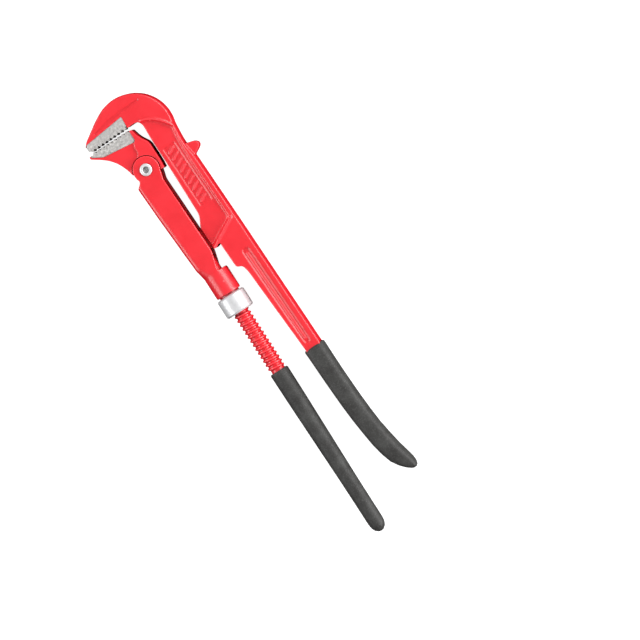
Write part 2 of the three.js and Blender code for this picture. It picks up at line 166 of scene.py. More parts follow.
def eased(bm, offset, steps=4, z=None, where=None):
    """Rounds a slab's rims, or slopes them when there is one step."""
    bmesh.ops.bevel(bm, geom=rim_edges(bm, z, where), offset=offset, segments=steps, profile=0.5,
                    affect="EDGES", material=-1)
    return bm


def both_faces(bm):
    """Adds the slab's mirror image below the mid plane."""
    copied = bmesh.ops.duplicate(bm, geom=bm.verts[:] + bm.edges[:] + bm.faces[:])["geom"]
    verts = [g for g in copied if isinstance(g, bmesh.types.BMVert)]
    faces = [g for g in copied if isinstance(g, bmesh.types.BMFace)]
    bmesh.ops.scale(bm, vec=(1, 1, -1), verts=verts)
    bmesh.ops.reverse_faces(bm, faces=faces)
    return bm


# %% [markdown]
# ## Turning
# The nut, the collar, the rod and the rivet are turned on a lathe. Their profile is a chain of points,
# each a radius and a distance along the axis, with the same rounding of corners. Spin carries it once
# round and joins the last step to the first. Points on the axis fall together into one pole.

# %% Turned bodies about the Y axis
def turned(profile, steps=64, closed=False):
    """Points are (radius, y) or (radius, y, rounding). A closed profile makes a body with a bore."""
    bm = bmesh.new()
    line = [bm.verts.new((point[0], point[1], 0)) for point in profile]
    for a, b in zip(line, line[1:]):
        bm.edges.new((a, b))
    if closed:
        bm.edges.new((line[-1], line[0]))
    for vert, point in zip(line, profile):
        if len(point) > 2:
            bmesh.ops.bevel(bm, geom=[vert], offset=point[2], segments=CORNER_STEPS, profile=0.5,
                            affect="VERTICES", material=-1)
    bmesh.ops.spin(bm, geom=bm.verts[:] + bm.edges[:], cent=(0, 0, 0), axis=(0, 1, 0),
                   angle=2 * math.pi, steps=steps, use_merge=True)
    bmesh.ops.remove_doubles(bm, verts=bm.verts[:], dist=1e-4)
    bmesh.ops.recalc_face_normals(bm, faces=bm.faces[:])
    return bm


def across(bm, x, y):
    """Turns a body made about Y so that it stands along Z, at a point of the mid plane."""
    bmesh.ops.rotate(bm, cent=(0, 0, 0), matrix=Matrix.Rotation(math.pi / 2, 3, "X"), verts=bm.verts[:])
    bmesh.ops.translate(bm, vec=(x, y, 0), verts=bm.verts[:])
    return bm


def peg(radius, half, x, y, steps=64):
    """A plain round peg through the thickness, used to drill."""
    return across(turned([(0, -half), (radius, -half), (radius, half), (0, half)], steps), x, y)


def on_rod(bm):
    """Moves a body made about Y at the origin onto the threaded rod's axis, from the fulcrum."""
    bmesh.ops.transform(bm, matrix=ONTO_ROD, verts=bm.verts[:])
    return bm


# %% [markdown]
# ## From clay to forging
# A drop forging has no sharp edges: metal flows into the die and every corner comes out soft. The pieces
# are built the same way. Plain slabs are cut with Boolean modifiers, laid over each other, and melted
# into one skin with a voxel Remesh. A Smooth modifier then rounds every edge and inside corner by the
# same small amount, which is what the die and a thick coat of paint do on the real tool.

# %% Piece helpers
def piece(name, *meshes):
    """One object from several bmeshes laid over each other."""
    whole = bpy.data.meshes.new(name)
    joined = bmesh.new()
    for bm in meshes:
        bm.to_mesh(whole)
        joined.from_mesh(whole)
        bm.free()
    joined.to_mesh(whole)
    joined.free()
    obj = bpy.data.objects.new(name, whole)
    bpy.context.scene.collection.objects.link(obj)
    return obj


def baked(obj):
    """Applies the modifiers by keeping the evaluated mesh."""
    graph = bpy.context.evaluated_depsgraph_get()
    made = bpy.data.meshes.new_from_object(obj.evaluated_get(graph))
    made.name = obj.name
    old = obj.data
    obj.modifiers.clear()
    obj.data = made
    bpy.data.meshes.remove(old)
    return obj


def carve(obj, *cutters):
    """Takes the cutters' space out of the piece."""
    for bm in cutters:
        tool = piece("cutter", bm)
        cut = obj.modifiers.new("cut", "BOOLEAN")
        cut.operation = "DIFFERENCE"
        cut.solver = "MANIFOLD"
        cut.object = tool
        baked(obj)
        mesh = tool.data
        bpy.data.objects.remove(tool)
        bpy.data.meshes.remove(mesh)
    return obj


def as_bmesh(obj):
    """Takes an object apart again into a bmesh, to be laid into another piece."""
    bm = bmesh.new()
    bm.from_mesh(obj.data)
    mesh = obj.data
    bpy.data.objects.remove(obj)
    bpy.data.meshes.remove(mesh)
    return bm


def melt(obj, voxel, rounds):
    """One skin round everything, its edges softened by rounds of smoothing."""
    skin = obj.modifiers.new("skin", "REMESH")
    skin.mode = "VOXEL"
    skin.voxel_size = voxel
    soft = obj.modifiers.new("soft", "SMOOTH")
    soft.factor = 0.5
    soft.iterations = rounds
    return baked(obj)


# %% Handing a piece over to the frame
CREASE = math.radians(35)


def finish(obj, body, slot, material, *nodes):
    """Puts a piece in its place in metres, gives it its finish, hangs it on the body it rides on and hides
    the CAD parts it stands for.
    """
    obj.data.transform(FROM_RIVET)
    obj.data.materials.clear()
    obj.data.materials.append(material)
    for polygon in obj.data.polygons:
        polygon.use_smooth = True
    obj.data.set_sharp_from_angle(angle=CREASE)
    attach(obj, body)
    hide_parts(*nodes)
    obj.data.calc_loop_triangles()
    print(obj.name, len(obj.data.loop_triangles), "triangles")
    return obj


# %% [markdown]
# ## Material workbench
# Every finish starts from a Principled shader and reads Object coordinates in metres. The sizes of its
# patterns are written as the real size of one grain, in millimetres, and turned into a scale.

# %% Node helpers
class Finish:
    """A material with a Principled shader, and short ways to add the nodes that feed it."""

    def __init__(self, name, **numbers):
        self.material = bpy.data.materials.new(name)
        self.material.use_nodes = True
        self.nodes = self.material.node_tree.nodes
        self.links = self.material.node_tree.links
        self.shader = self.nodes["Principled BSDF"]
        for socket, value in numbers.items():
            self.shader.inputs[socket.replace("_", " ")].default_value = value
        self.place = self.nodes.new("ShaderNodeTexCoord").outputs["Object"]

    def link(self, source, target):
        self.links.new(source, target)

    def stretched(self, x=1.0, y=1.0, z=1.0, turn=(0, 0, 0)):
        """A place to read a pattern from, scaled and turned, so that its grain runs one way."""
        mapping = self.nodes.new("ShaderNodeMapping")
        mapping.inputs["Scale"].default_value = (x, y, z)
        mapping.inputs["Rotation"].default_value = turn
        self.link(self.place, mapping.inputs["Vector"])
        return mapping.outputs["Vector"]

    def noise(self, grain_mm, detail=3.0, rough=0.55, place=None):
        noise = self.nodes.new("ShaderNodeTexNoise")
        noise.inputs["Scale"].default_value = 1 / (grain_mm * MM)
        noise.inputs["Detail"].default_value = detail
        noise.inputs["Roughness"].default_value = rough
        self.link(place or self.place, noise.inputs["Vector"])
        return noise.outputs["Fac"]

    def spots(self, grain_mm):
        """Small round cells, as on a pebbled skin."""
        cells = self.nodes.new("ShaderNodeTexVoronoi")
        cells.inputs["Scale"].default_value = 1 / (grain_mm * MM)
        self.link(self.place, cells.inputs["Vector"])
        return cells.outputs["Distance"]

    def edges(self):
        """0.5 on flat faces, more on edges, less in inside corners."""
        return self.nodes.new("ShaderNodeNewGeometry").outputs["Pointiness"]

    def hollows(self, reach_mm):
        """How open a point is to its surroundings: 1 on a free face, near 0 deep in a hole."""
        open_to = self.nodes.new("ShaderNodeAmbientOcclusion")
        open_to.samples = 8
        open_to.inputs["Distance"].default_value = reach_mm * MM
        return open_to.outputs["AO"]

    def ramp(self, source, *stops):
        """Stops are (place, colour or grey)."""
        ramp = self.nodes.new("ShaderNodeValToRGB")
        band = ramp.color_ramp
        while len(band.elements) < len(stops):
            band.elements.new(0.5)
        for element, (position, colour) in zip(band.elements, stops):
            element.position = position
            if not isinstance(colour, tuple):
                colour = (colour, colour, colour)
            element.color = (*colour, 1)
        self.link(source, ramp.inputs["Fac"])
        return ramp.outputs["Color"]

    def mix(self, factor, a, b):
        """Factor 0 gives a, factor 1 gives b."""
        mix = self.nodes.new("ShaderNodeMix")
        mix.data_type = "RGBA"
        for value, socket in ((factor, mix.inputs["Factor"]), (a, mix.inputs["A"]), (b, mix.inputs["B"])):
            if isinstance(value, bpy.types.NodeSocket):
                self.link(value, socket)
            else:
                socket.default_value = value if isinstance(value, float) else (*value, 1)
        return mix.outputs["Result"]

    def bump(self, height, depth_mm, under=None):
        """Relief of a real depth, laid over another bump if there is one."""
        bump = self.nodes.new("ShaderNodeBump")
        bump.inputs["Strength"].default_value = 1.0
        bump.inputs["Distance"].default_value = depth_mm * MM
        self.link(height, bump.inputs["Height"])
        if under is not None:
            self.link(under, bump.inputs["Normal"])
        return bump.outputs["Normal"]

    def done(self, colour=None, roughness=None, normal=None):
        for source, socket in ((colour, "Base Color"), (roughness, "Roughness"), (normal, "Normal")):
            if source is not None:
                self.link(source, self.shader.inputs[socket])
        return self.material


# %% [markdown]
# ## Red enamel
# The forgings are dipped or sprayed in gloss red enamel. Close up it shows a fine orange peel over the
# slow waves of the forging. A painted highlight lightens the red on the edges and painted shade darkens it
# in the inside corners; Pointiness tells the two apart. More painted shade, found by ambient occlusion,
# darkens the deep gaps. A clear coat on the shader gives the wet gloss.

# %% Red enamel
def red_enamel():
    paint = Finish("red_enamel", Coat_Weight=0.25, Coat_Roughness=0.12, IOR=1.5)
    clouds = paint.noise(14.0)
    base = paint.ramp(clouds, (0.3, (0.62, 0.012, 0.020)), (0.7, (0.69, 0.017, 0.027)))
    # Painted highlight: the red turns lighter on convex edges, found by Pointiness.
    painted_edge_highlight = paint.ramp(paint.edges(), (0.515, 0.0), (0.56, 1.0))
    lit = paint.mix(painted_edge_highlight, base, (1.0, 0.075, 0.09))
    # Painted shade: the red turns darker in inside corners, found by Pointiness.
    painted_corner_shade = paint.ramp(paint.edges(), (0.44, 1.0), (0.492, 0.0))
    colour = paint.mix(painted_corner_shade, lit, (0.50, 0.008, 0.014))
    # Painted shade: ambient occlusion darkens the red in deep gaps and hollows.
    painted_gap_shade = paint.ramp(paint.hollows(3.0), (0.30, 1.0), (0.66, 0.0))
    colour = paint.mix(painted_gap_shade, colour, (0.16, 0.006, 0.008))
    roughness = paint.ramp(paint.noise(5.0), (0.3, 0.30), (0.7, 0.40))
    waves = paint.bump(paint.noise(6.0, 2.0), 0.05)
    peel = paint.bump(paint.noise(0.9, 2.0), 0.010, waves)
    return paint.done(colour, roughness, peel)


RED = red_enamel()

# %% [markdown]
# ## Ground steel
# The toothed plates are hardened and left bare. Their faces are ground flat, so they are mottled light
# grey with fine scratches that run one way, and a little darker where oil sits.

# %% Ground steel
def ground_steel():
    steel = Finish("ground_steel", Metallic=0.4)
    mottle = steel.noise(1.6, 4.0, 0.7)
    base = steel.ramp(mottle, (0.38, (0.27, 0.26, 0.25)), (0.62, (0.58, 0.57, 0.55)))
    oil = steel.ramp(steel.noise(7.0), (0.35, 0.7), (0.6, 0.0))
    colour = steel.mix(oil, base, (0.40, 0.385, 0.375))
    scratches = steel.noise(0.25, 2.0, 0.6, steel.stretched(0.08, 1.0, 1.0, (0, 0, 0.5)))
    roughness = steel.ramp(scratches, (0.3, 0.42), (0.7, 0.62))
    return steel.done(colour, roughness, steel.bump(scratches, 0.012))


STEEL = ground_steel()

# %% [markdown]
# ## Bright zinc
# The nut and the rivet are plated in bright zinc: nearly white, with soft crystalline clouds and only a
# faint grain. It is not a mirror, because the plating is a few microns thick over a machined surface.
# Deep hollows are darkened with painted shade found by ambient occlusion.

# %% Bright zinc
def bright_zinc():
    zinc = Finish("bright_zinc", Metallic=0.35)
    clouds = zinc.ramp(zinc.noise(3.0, 4.0), (0.3, (0.56, 0.56, 0.57)), (0.7, (0.64, 0.64, 0.65)))
    # Painted shade: ambient occlusion darkens the zinc in deep hollows such as the rivet's dimple.
    painted_hollow_shade = zinc.ramp(zinc.hollows(4.0), (0.35, 1.0), (0.80, 0.0))
    colour = zinc.mix(painted_hollow_shade, clouds, (0.10, 0.095, 0.09))
    roughness = zinc.ramp(zinc.noise(0.8), (0.3, 0.34), (0.7, 0.46))
    return zinc.done(colour, roughness, zinc.bump(zinc.noise(0.4, 2.0), 0.006))


ZINC = bright_zinc()

# %% [markdown]
# ## Dipped grip
# The handles are dipped in liquid PVC. It sets with a matte, faintly pebbled skin, dark grey rather than
# black, with lighter specks where hands have scuffed it.

# %% Dipped PVC
def dipped_pvc():
    pvc = Finish("dipped_pvc", IOR=1.45, Specular_IOR_Level=0.35)
    clouds = pvc.noise(9.0)
    base = pvc.ramp(clouds, (0.3, (0.020, 0.019, 0.018)), (0.7, (0.042, 0.042, 0.040)))
    specks = pvc.ramp(pvc.noise(0.9, 3.0, 0.7), (0.52, 0.0), (0.66, 0.5))
    colour = pvc.mix(specks, base, (0.075, 0.075, 0.073))
    roughness = pvc.ramp(pvc.noise(2.5), (0.3, 0.52), (0.7, 0.66))
    pebble = pvc.bump(pvc.spots(0.55), 0.02)
    return pvc.done(colour, roughness, pvc.bump(pvc.noise(4.0, 2.0), 0.06, pebble))


GRIP = dipped_pvc()

# %% [markdown]
# ## The long leg
# One forging makes the hook, the long leg and the thin tongue that reaches into the short leg's fork.
# Its web is thinner than its rim. A lip borders the web below the hook, and a rib crosses it at its
# foot. A sunk panel carries raised marks, which are plain slanted bars. Slabs are cut out for what is
# sunk and laid on for what stands up, and all of it is melted into one skin.

# %% The long leg's outline
LEG_GRIP_TOP = -151.2
GRIP_TUCK = 12  # how far a leg's core runs on inside its grip
BACK_ROUNDING = 1.3
leg = piece("hook_leg_forging", eased(slab(sheet(
    (-24.6, 28.5), (-24.6, 33.0, 1), (-22.6, 35.4, 1.5), (-15.5, 40.0, 3),
    (-8.5, 44.2, 3), (-1.5, 47.3, 2), (1.63, 47.85), ("arc", 6.5, 22.8, -119),
    (29.8, 7.0, 3), (29.3, -0.6, 3), (30.4, -9.6, 3), (30.3, -60),
    (29.5, LEG_GRIP_TOP - GRIP_TUCK), (18.9, LEG_GRIP_TOP - GRIP_TUCK), (18.9, LEG_GRIP_TOP),
    (17.0, -88, 2.5), (15.8, -83.9, 1.5), (12.3, -83.0, 1.8),
    (12.2, -64.0, 0.9), (10.6, -63.7, 0.5), (7.2, -65.6), (7.2, -49.4, 0.8), (11.2, -42.6, 2.5),
    (12.5, -10, 5), (13.1, 14), (13.4, 19, 2), (13.9, 25.0, 2.2), (12.2, 28.2, 1.8), (9.0, 28.5),
), -LEG_HALF, LEG_HALF), BACK_ROUNDING, where=lambda point: point.x > 26 or point.y > 37))


# %% The sunk web, the shallow strip in the hook, and the two panels
def sunk(outline, floor_z, slope):
    """A cutter for both faces: a pocket with this outline, its floor at a height, its foot sloped."""
    return both_faces(eased(slab(sheet(*outline), floor_z, LEG_HALF + 2), slope, 1, floor_z))


STRIP_DEPTH = 0.9
MARK_DEPTH = 0.7
LOWER_DEPTH = 0.9
WEB = ((-6, 24), (10, 27.6), (15.6, 27.0, 2), (20.7, 24.6, 2.5), (25.6, 19.6, 2.5), (30.0, 13.6, 1.5),
       (28.3, 6, 3), (27.3, -10, 5), (27.2, -54.0, 2.6), (7.2, -64.0), (-6, -71))
STRIP = ((-15, 35.6), (6, 37.6), (22, 38.6, 0.6), (21, 40.6, 0.6), (4, 41.2, 3), (-8, 40.0, 3),
         (-17, 37.4))
MARK_PANEL = ((15.4, 5.2, 1), (24.6, 5.2, 1), (24.2, -39, 1), (15.0, -39, 1))
LOWER_PANEL = ((20.6, -75.4, 2.2), (26.0, -75.4, 2.2), (25.6, -147.6, 2), (21.0, -147.6, 2))
carve(leg, sunk(WEB, WEB_HALF, 1.4))
carve(leg, sunk(STRIP, LEG_HALF - STRIP_DEPTH, 1.1))
carve(leg, sunk(MARK_PANEL, WEB_HALF - MARK_DEPTH, 0.6))
carve(leg, sunk(LOWER_PANEL, LEG_HALF - LOWER_DEPTH, 0.8))

# %% The nub, the tongue, the rib, the lip, the raised bars and the spine
EYE_R = 5.2
NUB_HALF = 4.2
RIB_RISE = 1.1
LIP_RISE = 0.9
BAR_RISE = 0.35
nub = slab(sheet((26, -0.2), (30.8, -0.5), (34.6, -1.6, 1), (37.0, -3.9, 1), (36.2, -6.3, 1),
                 (32.6, -8.3, 1), (29.5, -9.8), (26, -9.8)), -NUB_HALF, NUB_HALF)
tongue = slab(sheet((9, -49.8), (6.8, -49.8, 1), (FULCRUM.x, FULCRUM.y + EYE_R),
                    ("arc", FULCRUM.x, FULCRUM.y, 180), (6.6, -63.8, 1), (9, -64.2)),
              -TONGUE_HALF, TONGUE_HALF)
rib = eased(slab(sheet((28.4, -53.4), (28.2, -55.6), (12.8, -63.6), (8.6, -65.6), (7.4, -64.6),
                       (11.9, -61.6)), -LEG_HALF - RIB_RISE, LEG_HALF + RIB_RISE), 0.9, 2)
BARS = 9
BAR_STEP = 4.5
FIRST_BAR_Y = 1.6
bars = []
for number in range(BARS):
    y = FIRST_BAR_Y - number * BAR_STEP
    bars.append(both_faces(slab(sheet((17.0, y - 1.3), (17.6, y - 2.4), (22.8, y + 0.5), (22.2, y + 1.6)),
                                WEB_HALF - 2, WEB_HALF + BAR_RISE)))
spine = both_faces(slab(sheet((22.5, -79, 0.4), (23.9, -79, 0.4), (23.7, -144.5, 0.4), (22.5, -144.5, 0.4)),
                        LEG_HALF - 3, LEG_HALF - 0.25))
lip = eased(slab(sheet((13.6, 28.6), (16.4, 28.2, 2), (21.6, 25.7, 3), (26.6, 20.7, 3), (30.4, 14.6),
                       (29.4, 13.4), (25.2, 19.4, 3), (20.4, 24.1, 3), (15.8, 26.4, 2), (13.6, 26.8)),
                 -LEG_HALF - LIP_RISE, LEG_HALF + LIP_RISE), 0.7, 1)

# %% Melt it, then cut the pin's hole and the plate's seat sharp
FULCRUM_PIN_R = 2.6
SEAT = ((-30, 20), (5.0, 20), (5.0, 28.2), (5.65, 36.55, 0.4), (-23.1, 34.1, 0.3), (-24.9, 32.2),
        (-30, 31.8))
leg = piece("hook_leg_forging", as_bmesh(leg), nub, tongue, rib, lip, spine, *bars)
melt(leg, 0.45, 6)
carve(leg, peg(FULCRUM_PIN_R + RUNNING_GAP, THROUGH, FULCRUM.x, FULCRUM.y),
      slab(sheet(*SEAT), -THROUGH, THROUGH))
finish(leg, "hook_leg", "red_paint", RED, "hook_leg")

# %% [markdown]
# ## Toothed plates
# Each jaw has a hard steel plate let into it. Teeth are cut across the plate with a blunt tip, so they
# bite a pipe without chipping. The outline is drawn with the teeth in it, pulled through the thickness,
# and its edges get the small bevel that grinding leaves.

# %% Teeth
TEETH = 9
TOOTH_PITCH = 3.03
TOOTH_DEPTH = 1.35
FIRST_TOOTH_X = -23.2
TIP_FLAT = 0.25
PLATE_BEVEL = 0.18


def toothed(tip_y, depth):
    """Corners of a row of teeth from left to right. Depth is negative for teeth that point up."""
    corners = []
    for number in range(TEETH):
        root = FIRST_TOOTH_X + number * TOOTH_PITCH
        tip = root + TOOTH_PITCH / 2
        corners.append((root, tip_y(root) + depth, 0.12))
        corners.append((tip - TIP_FLAT, tip_y(tip), 0.08))
        corners.append((tip + TIP_FLAT, tip_y(tip), 0.08))
    return corners


# %% The upper plate
UPPER_TIP_Y = 28.25
UPPER_INSET = 0.1  # how far the plate lies below the forging's faces
upper = slab(sheet(*toothed(lambda x: UPPER_TIP_Y, TOOTH_DEPTH), (4.2, 29.6), (4.85, 29.6, 0.3),
                   (5.5, 36.4, 0.4), (-22.9, 34.0, 0.5), (-24.0, 32.4, 0.4), (-24.0, 29.6, 0.2)),
             -LEG_HALF + UPPER_INSET, LEG_HALF - UPPER_INSET)
upper_teeth = piece("hook_jaw_teeth", eased(upper, PLATE_BEVEL, 2))
finish(upper_teeth, "hook_leg", "bare_steel", STEEL, "hook_jaw_plate")

# %% The lower plate, whose teeth fall away slightly towards the throat
LOWER_INSET = 0.4
LOWER_START = (-24, 27.85)
LOWER_FALL = 0.95 / 29


def lower_tip_y(x):
    return LOWER_START[1] - (x - LOWER_START[0]) * LOWER_FALL


lower = slab(sheet(*toothed(lower_tip_y, -TOOTH_DEPTH), (4.1, 25.6), (4.75, 25.55, 0.2),
                   (4.6, 18.8, 1.6), (2.2, 18.75, 0.6), (-18.0, 21.6, 1), (-24.7, 25.6, 0.4),
                   (-24.9, 26.9, 0.4)),
             -JAW_HALF + LOWER_INSET, JAW_HALF - LOWER_INSET)
lower_teeth = piece("lower_jaw_teeth", eased(lower, PLATE_BEVEL, 2))
finish(lower_teeth, "lower_jaw", "bare_steel", STEEL, "lower_jaw_plate")

# %% [markdown]
# ## The lower jaw
# A small forging with a tang that goes between the sleeve's cheeks. The faces are scooped out on the
# outer side, so that a soft ridge runs from the underside up to the plate. The seat of the plate is cut
# right through, and a disc is cut away where the cheeks turn.

# %% The head, its scoop and its tang
CHEEK_R = 8.7
CHEEK_GAP = 0.35  # between the cheeks' round ends and the jaw's head
head = piece("lower_head", slab(sheet(
    (-25.9, 26.7, 0.3), (-25.8, 25.0, 0.5), (-20.6, 21.3, 2), (-17.4, 18.6, 2), (-14.4, 15.2, 2),
    (-12.3, 11.6, 2), (-10.7, 7.4, 2), (-9.2, 1.4), (0, 0), (8.4, -5.0), (10.2, -5.0, 0.5),
    (10.8, 0, 2), (11.1, 13.6, 2), (7.4, 20.0, 2.5), (6.0, 26.2, 0.9), (4.0, 26.2), (-20, 27)),
    -JAW_HALF, JAW_HALF))
scoop = slab(sheet((-13, -2), (-8.8, 4.6, 2), (-4.2, 7.4, 2), (0.2, 9.6, 2), (1.9, 12.2, 1.5),
                   (1.5, 15.4, 1.2), (4.2, 19.6), (-16, 23), (-24, 20)),
             JAW_HALF, JAW_HALF + 4)
SCOOP_TILT = math.radians(5)
SCOOP_DEPTH = 1.3
bmesh.ops.rotate(scoop, cent=(1.7, 12, JAW_HALF), verts=scoop.verts[:],
                 matrix=Matrix.Rotation(SCOOP_TILT, 3, Vector((0.6, 0.8, 0))))
bmesh.ops.translate(scoop, vec=(0, 0, -SCOOP_DEPTH), verts=scoop.verts[:])
carve(head, both_faces(scoop))
carve(head, peg(CHEEK_R + CHEEK_GAP, THROUGH, 0, 0))
tang = slab(sheet((-8.2, 0), ("arc", 0, 0, 180), (8.9, 9), (0, 14), (-8.8, 9)), -TANG_HALF, TANG_HALF)
jaw = piece("lower_jaw_forging", as_bmesh(head), tang)
melt(jaw, 0.33, 5)
RIVET_R = 3.0
carve(jaw, peg(RIVET_R + RUNNING_GAP, THROUGH, 0, 0),
      slab(sheet((-27, 30), (-25.1, 27.1), (-24.85, 25.5, 0.4), (-18.1, 21.45, 1), (2.4, 18.6, 0.6),
                 (4.75, 18.6, 1.6), (4.9, 30)), -THROUGH, THROUGH))
finish(jaw, "lower_jaw", "red_paint", RED, "lower_jaw")

# %% [markdown]
# ## The rivet
# A headed pin, each head closed in a press that leaves a deep dimple. One profile holds both heads and
# the shank, and is turned once round.

# %% The rivet
RIVET_HEAD_R = 3.95
HEAD_TOP = 9.1
HEAD_FOOT = SLEEVE_HALF + 0.2
DIMPLE = 1.9
rivet = piece("jaw_rivet_turned", across(turned([
    (0, -HEAD_TOP + DIMPLE), (1.6, -HEAD_TOP + 1.8, 0.3), (2.2, -HEAD_TOP + 0.1, 0.25),
    (3.2, -HEAD_TOP, 0.3), (RIVET_HEAD_R, -HEAD_TOP + 0.5, 0.2), (RIVET_HEAD_R, -HEAD_FOOT, 0.1),
    (RIVET_R, -HEAD_FOOT), (RIVET_R, HEAD_FOOT), (RIVET_HEAD_R, HEAD_FOOT, 0.1),
    (RIVET_HEAD_R, HEAD_TOP - 0.5, 0.2), (3.2, HEAD_TOP, 0.3), (2.2, HEAD_TOP - 0.1, 0.3),
    (1.6, HEAD_TOP - 1.8, 0.3), (0, HEAD_TOP - DIMPLE)]), 0, 0))
finish(rivet, "sleeve", "zinc", ZINC, "jaw_rivet")

# %% [markdown]
# ## The sleeve
# A forged channel, open towards the long leg. Its two cheeks end in round ears that hold the lower jaw,
# and its foot runs down into a turned collar. The channel, the collar and the blend between them are
# laid over each other and melted. Convex hull makes the blend, from the channel's end with its rounded
# back corners to the collar's round.

# %% The channel with its cheeks
CHANNEL_BACK_ROUNDING = 3.4
channel = slab(sheet(
    (-11.9, -7.6), (-11.7, -30), (-10.8, -65), (-10.5, -72), (3.3, -72), (5.4, -65.2, 1.5),
    (5.5, -11.4, 1.5), (7.752, -3.950), ("arc", 0, 0, 233), (-8.6, -5.2, 0.6)),
    -SLEEVE_HALF, SLEEVE_HALF)
sleeve = piece("sleeve_channel", eased(channel, CHANNEL_BACK_ROUNDING, 6,
                                       where=lambda point: point.x < -10.2))

# %% The blend down to the collar
COLLAR_R = 8.5
COLLAR_TOP = -19.6
COLLAR_END = -35.6
blend = bmesh.new()
BLEND_START_Y = -70.5
for y, radius in ((COLLAR_TOP - 1.5, COLLAR_R - 0.15), (COLLAR_TOP - 4, COLLAR_R - 1.3)):
    upright = Matrix.Translation((0, y, 0)) @ Matrix.Rotation(math.pi / 2, 4, "X")
    bmesh.ops.create_circle(blend, segments=48, radius=radius, matrix=upright)
on_rod(blend)
for x, drop in ((-10.55, 3.0), (-9.6, 0.95), (-7.6, 0), (3.8, 0)):
    for z in (drop - SLEEVE_HALF, SLEEVE_HALF - drop):
        blend.verts.new((x, BLEND_START_Y, z))
bmesh.ops.convex_hull(blend, input=blend.verts[:])
print("blend closed:", all(e.is_manifold for e in blend.edges))
blend = piece("sleeve_blend", blend)
carve(blend, slab(sheet((5.6, -65), (1.9, -76.4), (1.9, -77.7), (14, -78.1), (14, -65)), -12, 12))

# %% The channel's hollow, the bore and the collar
CHANNEL = ((-9.5, 20), (-9.4, -30), (-8.4, -66), (-7.4, -77.4), (20, -78.1), (20, 20))
BORE_R = 5.9
NECK_R = 6.9
NECK_END = -42.8
RING_Y = -39.0
RING_GROOVE_HALF = 0.75
RING_GROOVE_R = NECK_R - 0.5
NECK_TUCK = 1  # how far the neck runs up inside the collar
for part in (sleeve, blend):
    carve(part, slab(sheet(*CHANNEL), -CHANNEL_HALF, CHANNEL_HALF))
    carve(part, on_rod(turned([(0, -60), (BORE_R, -60), (BORE_R, -10), (0, -10)])))
collar = on_rod(turned([(BORE_R, COLLAR_TOP), (COLLAR_R, COLLAR_TOP, 0.7), (COLLAR_R, COLLAR_END, 0.5),
                        (BORE_R, COLLAR_END)], 96, closed=True))
sleeve = piece("jaw_sleeve_forging", as_bmesh(sleeve), as_bmesh(blend), collar)
melt(sleeve, 0.42, 14)
carve(sleeve, peg(RIVET_R + RUNNING_GAP, THROUGH, 0, 0))
neck = on_rod(turned([
    (BORE_R, NECK_END), (NECK_R, NECK_END, 0.2), (NECK_R, RING_Y - RING_GROOVE_HALF),
    (RING_GROOVE_R, RING_Y - RING_GROOVE_HALF), (RING_GROOVE_R, RING_Y + RING_GROOVE_HALF),
    (NECK_R, RING_Y + RING_GROOVE_HALF), (NECK_R, COLLAR_END + NECK_TUCK),
    (BORE_R, COLLAR_END + NECK_TUCK)], 64, closed=True))
sleeve = piece("jaw_sleeve_forging", as_bmesh(sleeve), neck)
finish(sleeve, "sleeve", "red_paint", RED, "jaw_sleeve")

# %% [markdown]
# ## The threaded leg
# A bar with a fork at its top and a rolled thread. The thread's ridge is one small face wound round the
# rod: Spin turns it and lifts it by one pitch a turn. Core and ridge are melted together with fine
# voxels, and the smoothing gives the soft flanks of a painted rolled thread.

# %% Core and fork
PITCH = 3.0
THREAD_TIP_R = 5.5
THREAD_ROOT_R = 4.5
THREAD_TOP = -41.0
THREAD_END = -92.6
RIDGE_TURNS = 16
ROD_GRIP_TOP = -93.6
CORE_R = 4.7
shank = turned([
    (0, ROD_GRIP_TOP - GRIP_TUCK), (CORE_R, ROD_GRIP_TOP - GRIP_TUCK), (CORE_R, ROD_GRIP_TOP),
    (THREAD_ROOT_R, THREAD_END), (THREAD_ROOT_R, THREAD_TOP - 1), (4.9, THREAD_TOP + 0.5),
    (5.0, -12), (4.4, -7), (0, -7)], 48)
FORK_HALF = TANG_HALF - 0.1
SLOT_HALF = TONGUE_HALF + 0.3
fork = slab(sheet((EYE_R, 0), ("arc", 0, 0, 180), (-EYE_R, -8.8, 1.5), (EYE_R, -8.8, 1.5)),
            -FORK_HALF, FORK_HALF)
slot = slab(sheet((-12, 12), (-12, -5.6), (12, -7.2), (12, 12)), -SLOT_HALF, SLOT_HALF)
fork = as_bmesh(carve(piece("fork", fork), slot, peg(FULCRUM_PIN_R + RUNNING_GAP, THROUGH, 0, 0)))

# %% The ridge wound round the rod, and the melt
ridge = bmesh.new()
RIDGE_START = -91.4
STEPS_A_TURN = 40
corners = ((THREAD_ROOT_R - 0.5, -1.25), (THREAD_TIP_R + 0.1, -0.4), (THREAD_TIP_R + 0.1, 0.4),
           (THREAD_ROOT_R - 0.5, 1.25))
ridge.faces.new([ridge.verts.new((r, RIDGE_START + y, 0)) for r, y in corners])
bmesh.ops.spin(ridge, geom=ridge.verts[:] + ridge.edges[:] + ridge.faces[:],
               cent=(0, 0, 0), axis=(0, 1, 0), dvec=(0, PITCH / STEPS_A_TURN, 0),
               angle=-RIDGE_TURNS * 2 * math.pi, steps=RIDGE_TURNS * STEPS_A_TURN)
bmesh.ops.recalc_face_normals(ridge, faces=ridge.faces[:])
print("ridge closed:", all(e.is_manifold for e in ridge.edges))
rod = piece("threaded_leg_rod", on_rod(shank), on_rod(fork), on_rod(ridge))
melt(rod, 0.28, 3)
finish(rod, "threaded_leg", "red_paint", RED, "threaded_leg")

# %% [markdown]
# ## The adjusting nut
# A plated nut, rolled with a fine diamond knurl so that a thumb can turn it. The body is turned. Its
# barrel is then cut by evenly spaced loops, and every second point is pressed in, like a chess board,
# which leaves rows of small pyramids.

